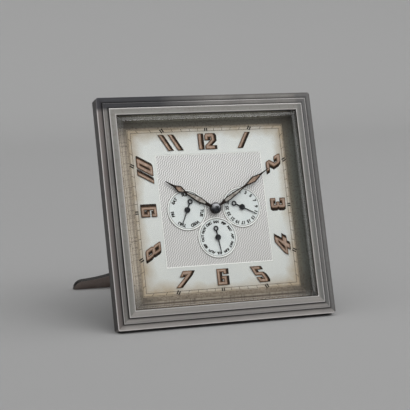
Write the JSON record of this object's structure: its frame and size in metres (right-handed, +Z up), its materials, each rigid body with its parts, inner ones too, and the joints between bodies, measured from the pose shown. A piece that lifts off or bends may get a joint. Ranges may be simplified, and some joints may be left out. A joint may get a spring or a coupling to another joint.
{
  "type": "desk clock",
  "caption": "Square art deco desk clock with a stepped silver frame, bevelled glass, applied numerals, calendar sub-dials, and a flared easel strut hinged behind.",
  "frame": {"origin": "middle of the clock's footprint on the surface that it stands on", "axes": "+X to the right seen from the front, the dial faces -Y, +Z up"},
  "size_m": [0.11, 0.1056, 0.1061],
  "materials": {
    "tarnished_silver": "tarnished, satin, worn bright along the edges",
    "bevelled_glass": "clear, polished, with a bevelled rim",
    "gilt_wall": "dull, darkened gilt",
    "silvered_dial": "silvered, engine turned in the middle",
    "copper": "satin copper with dark sides",
    "white_enamel": "white, satin, printed",
    "polished_silver": "polished",
    "bronzed_hand": "copper with a dark rim",
    "blackened_steel": "black, satin",
    "steel": "polished",
    "movement_brass": "grained"
  },
  "bodies": {
    "case": {"bezel_frame": "tarnished_silver", "glass": "bevelled_glass", "glass_retainer": "gilt_wall", "dial_plate": "silvered_dial", "hour_numerals": "copper", "subdial_discs": "white_enamel", "subdial_rings": "polished_silver", "case_body": "tarnished_silver", "back_cover": "tarnished_silver", "cover_screws": "steel", "frame_screws": "steel", "front_plate": "movement_brass", "back_plate": "movement_brass", "pillars": "movement_brass", "plate_screws": "steel", "click": "steel", "hairspring": "steel", "balance_cock": "movement_brass", "day_jumper": "steel", "date_jumper": "steel", "month_jumper": "steel", "dial_side_studs": "steel", "hinge_bracket": "tarnished_silver", "hinge_pin": "steel", "day_corrector_spring": "steel", "date_corrector_spring": "steel", "month_corrector_spring": "steel"},
    "minute": {"centre_wheel": "movement_brass", "cannon_pinion": "steel", "minute_hand": "bronzed_hand", "hand_cap": "polished_silver"},
    "hour": {"hour_wheel": "movement_brass", "hour_hand": "bronzed_hand"},
    "minute_wheel": {"minute_wheel": "movement_brass"},
    "setting": {"setting_arbor": "steel", "setting_knob": "tarnished_silver"},
    "day_drive": {"day_drive_wheel": "movement_brass"},
    "date_drive": {"date_drive_wheel": "movement_brass"},
    "intermediate": {"intermediate_wheel": "movement_brass"},
    "barrel": {"barrel": "movement_brass", "mainspring": "steel"},
    "third": {"third_wheel": "movement_brass"},
    "fourth": {"fourth_wheel": "movement_brass"},
    "escape": {"escape_wheel": "movement_brass"},
    "lever": {"pallet_lever": "steel"},
    "balance": {"balance_wheel": "movement_brass"},
    "winding": {"barrel_arbor": "steel", "ratchet_wheel": "steel", "winding_key": "tarnished_silver"},
    "day": {"day_star": "movement_brass", "day_hand": "blackened_steel"},
    "date": {"date_star": "movement_brass", "date_hand": "blackened_steel"},
    "month": {"month_star": "movement_brass", "month_hand": "blackened_steel"},
    "day_corrector": {"day_corrector": "tarnished_silver"},
    "date_corrector": {"date_corrector": "tarnished_silver"},
    "month_corrector": {"month_corrector": "tarnished_silver"},
    "strut": {"strut": "tarnished_silver"}
  },
  "joints": [
    {"name": "minute_turn", "type": "hinge", "parent": "case", "child": "minute", "pos_m": [0, -0.0304, 0.05206], "axis": [0, 0.9511, -0.309], "continuous": true},
    {"name": "hour_turn", "type": "hinge", "parent": "case", "child": "hour", "pos_m": [0, -0.0304, 0.05206], "axis": [0, 0.9511, -0.309], "continuous": true},
    {"name": "minute_wheel_turn", "type": "hinge", "parent": "case", "child": "minute_wheel", "pos_m": [0.00509, -0.02883, 0.0569], "axis": [0, 0.9511, -0.309], "continuous": true},
    {"name": "setting_turn", "type": "hinge", "parent": "case", "child": "setting", "pos_m": [0.01552, -0.02796, 0.05956], "axis": [0, 0.9511, -0.309], "continuous": true},
    {"name": "day_drive_turn", "type": "hinge", "parent": "case", "child": "day_drive", "pos_m": [-0.00735, -0.02849, 0.05792], "axis": [0, 0.9511, -0.309], "continuous": true},
    {"name": "date_drive_turn", "type": "hinge", "parent": "case", "child": "date_drive", "pos_m": [0.00735, -0.03231, 0.04619], "axis": [0, 0.9511, -0.309], "continuous": true},
    {"name": "intermediate_turn", "type": "hinge", "parent": "case", "child": "intermediate", "pos_m": [-0.00439, -0.02699, 0.06255], "axis": [0, 0.9511, -0.309], "continuous": true},
    {"name": "barrel_turn", "type": "hinge", "parent": "case", "child": "barrel", "pos_m": [-0.02201, -0.02669, 0.06346], "axis": [0, 0.9511, -0.309], "continuous": true},
    {"name": "third_turn", "type": "hinge", "parent": "case", "child": "third", "pos_m": [0.0054, -0.03329, 0.04316], "axis": [0, 0.9511, -0.309], "continuous": true},
    {"name": "fourth_turn", "type": "hinge", "parent": "case", "child": "fourth", "pos_m": [0.01411, -0.03376, 0.0417], "axis": [0, 0.9511, -0.309], "continuous": true},
    {"name": "escape_turn", "type": "hinge", "parent": "case", "child": "escape", "pos_m": [0.01258, -0.03644, 0.03346], "axis": [0, 0.9511, -0.309], "continuous": true},
    {"name": "lever_swing", "type": "hinge", "parent": "case", "child": "lever", "pos_m": [0.00687, -0.03675, 0.0325], "axis": [0, 0.9511, -0.309], "range_deg": [-4, 4]},
    {"name": "balance_swing", "type": "hinge", "parent": "case", "child": "balance", "pos_m": [0.00096, -0.03707, 0.03151], "axis": [0, 0.9511, -0.309], "range_deg": [-270, 270], "stiffness_Nm_per_rad": 0.00002, "deforming": ["hairspring"]},
    {"name": "key_wind", "type": "hinge", "parent": "case", "child": "winding", "pos_m": [-0.02201, -0.02669, 0.06346], "axis": [0, 0.9511, -0.309], "range_deg": [0, 2250], "deforming": ["mainspring", "click"]},
    {"name": "day_turn", "type": "hinge", "parent": "case", "child": "day", "pos_m": [-0.014, -0.0304, 0.05206], "axis": [0, 0.9511, -0.309], "continuous": true, "deforming": ["day_jumper"]},
    {"name": "date_turn", "type": "hinge", "parent": "case", "child": "date", "pos_m": [0.014, -0.0304, 0.05206], "axis": [0, 0.9511, -0.309], "continuous": true, "deforming": ["date_jumper"]},
    {"name": "month_turn", "type": "hinge", "parent": "case", "child": "month", "pos_m": [0, -0.03473, 0.03874], "axis": [0, 0.9511, -0.309], "continuous": true, "deforming": ["month_jumper"]},
    {"name": "day_push", "type": "slide", "parent": "case", "child": "day_corrector", "axis": [1, 0, 0], "range_m": [0, 0.002], "stiffness_N_per_m": 400, "deforming": ["day_corrector_spring"]},
    {"name": "date_push", "type": "slide", "parent": "case", "child": "date_corrector", "axis": [-1, 0, 0], "range_m": [0, 0.002], "stiffness_N_per_m": 400, "deforming": ["date_corrector_spring"]},
    {"name": "month_push", "type": "slide", "parent": "case", "child": "month_corrector", "axis": [0, 0.309, 0.9511], "range_m": [0, 0.002], "stiffness_N_per_m": 400, "deforming": ["month_corrector_spring"]},
    {"name": "strut_fold", "type": "hinge", "parent": "case", "child": "strut", "pos_m": [0, 0.00588, 0.07181], "axis": [-1, 0, 0], "range_deg": [0, 50.5]}
  ],
  "couplings": [
    {"joint": "hour_turn", "follows": "minute_turn", "ratio": 0.083333},
    {"joint": "minute_wheel_turn", "follows": "minute_turn", "ratio": -0.33333},
    {"joint": "setting_turn", "follows": "minute_turn", "ratio": 0.33333},
    {"joint": "day_drive_turn", "follows": "minute_turn", "ratio": -0.041667},
    {"joint": "date_drive_turn", "follows": "minute_turn", "ratio": -0.041667},
    {"joint": "intermediate_turn", "follows": "minute_turn", "ratio": -0.2},
    {"joint": "barrel_turn", "follows": "minute_turn", "ratio": 0.033333},
    {"joint": "third_turn", "follows": "minute_turn", "ratio": -8},
    {"joint": "fourth_turn", "follows": "minute_turn", "ratio": 60},
    {"joint": "escape_turn", "follows": "minute_turn", "ratio": -600}
  ]
}
